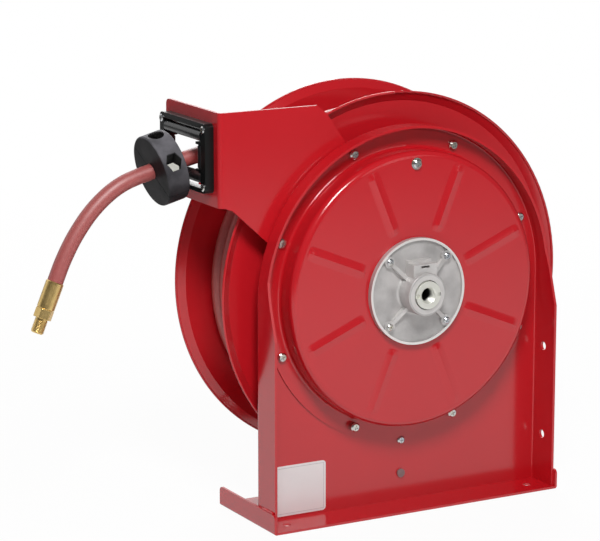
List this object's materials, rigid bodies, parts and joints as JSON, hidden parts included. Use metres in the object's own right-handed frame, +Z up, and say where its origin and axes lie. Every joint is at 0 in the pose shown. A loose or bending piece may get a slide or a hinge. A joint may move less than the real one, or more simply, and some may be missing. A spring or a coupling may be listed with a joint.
{
  "type": "spring-driven hose reel",
  "caption": "Self-retracting hose reel on a folded steel pedestal: spring case, inlet hub, flared spool, roller guide on a bent arm, and a wound hose with a clamp-on stop and threaded end.",
  "frame": {"origin": "on the floor, straight below the reel's axis, in the plane of the main plate's front face", "axes": "+X along the main plate, away from the hose's outlet; +Y from the inlet side to the spool; +Z up"},
  "size_m": [0.5963, 0.1961, 0.438],
  "materials": {
    "red_powder_coat": "gloss powder coat",
    "blank_label": "satin",
    "zinc_plate": "bright zinc plate",
    "cast_aluminium": "as cast",
    "steel": "machined",
    "bronze": "oiled bearing bronze",
    "brass": "machined",
    "guide_plastic": "satin",
    "stop_rubber": "matte moulded",
    "seal_rubber": "oiled",
    "hose_rubber": "satin extruded"
  },
  "bodies": {
    "stand": {"base_plate": "red_powder_coat", "pedestal": "red_powder_coat", "weld_beads": "red_powder_coat", "blank_label": "blank_label", "spring_cover": "red_powder_coat", "cover_bolts": "zinc_plate", "cover_nuts": "zinc_plate", "washers": "zinc_plate", "power_spring": "steel", "anchor_screw": "zinc_plate", "hub_casting": "cast_aluminium", "small_screws": "zinc_plate", "small_nuts": "zinc_plate", "inlet_body": "steel", "inlet_seals": "seal_rubber", "bushes": "bronze", "bearing_housing": "cast_aluminium", "guide_arm": "red_powder_coat", "roller_bracket": "guide_plastic", "bracket_screws": "zinc_plate", "bracket_nuts": "zinc_plate", "roller_pins": "zinc_plate", "pawl_bolt": "zinc_plate", "pawl_spacer": "zinc_plate", "pawl_nut": "zinc_plate", "pawl_spring": "steel", "spring_post": "zinc_plate", "hose_lead": "hose_rubber", "stop_upper_half": "stop_rubber", "stop_lower_half": "stop_rubber", "stop_screws": "zinc_plate", "stop_nuts": "zinc_plate", "hose_ferrule": "brass", "hose_nipple": "brass"},
    "spool": {"shaft": "steel", "shaft_clip": "zinc_plate", "spring_arbor": "steel", "arbor_key": "steel", "spool_flanges": "zinc_plate", "flange_bolts": "zinc_plate", "flange_nuts": "zinc_plate", "set_screws": "steel", "end_washer": "zinc_plate", "end_nut": "zinc_plate", "front_sheave": "red_powder_coat", "rear_sheave": "red_powder_coat", "drum": "red_powder_coat", "ratchet_ring": "zinc_plate", "ratchet_spacers": "zinc_plate", "tie_bolts": "zinc_plate", "tie_nuts": "zinc_plate", "tail_fitting": "brass", "tail_hose": "hose_rubber", "hose_core": "hose_rubber", "hose_turns": "hose_rubber"},
    "pawl": {"pawl": "zinc_plate"},
    "top_roller": {"top_roller": "guide_plastic"},
    "bottom_roller": {"bottom_roller": "guide_plastic"},
    "front_roller": {"front_roller": "guide_plastic"},
    "rear_roller": {"rear_roller": "guide_plastic"}
  },
  "joints": [
    {"name": "spool_spin", "type": "hinge", "parent": "stand", "child": "spool", "pos_m": [0, 0.07, 0.2355], "axis": [0, -1, 0], "range_deg": [0, 5970], "stiffness_Nm_per_rad": 0.08, "springref_deg": -1432.39},
    {"name": "pawl_tilt", "type": "hinge", "parent": "stand", "child": "pawl", "pos_m": [0, 0.0175, 0.068], "axis": [0, -1, 0], "range_deg": [0, 10], "stiffness_Nm_per_rad": 0.02, "springref_deg": -17.19},
    {"name": "top_roller_spin", "type": "hinge", "parent": "stand", "child": "top_roller", "pos_m": [-0.217, 0.0658, 0.4073], "axis": [0, 1, 0], "continuous": true},
    {"name": "bottom_roller_spin", "type": "hinge", "parent": "stand", "child": "bottom_roller", "pos_m": [-0.217, 0.0658, 0.3645], "axis": [0, 1, 0], "continuous": true},
    {"name": "front_roller_spin", "type": "hinge", "parent": "stand", "child": "front_roller", "pos_m": [-0.217, 0.0297, 0.3862], "axis": [0, 0, 1], "continuous": true},
    {"name": "rear_roller_spin", "type": "hinge", "parent": "stand", "child": "rear_roller", "pos_m": [-0.217, 0.1019, 0.3862], "axis": [0, 0, 1], "continuous": true}
  ]
}
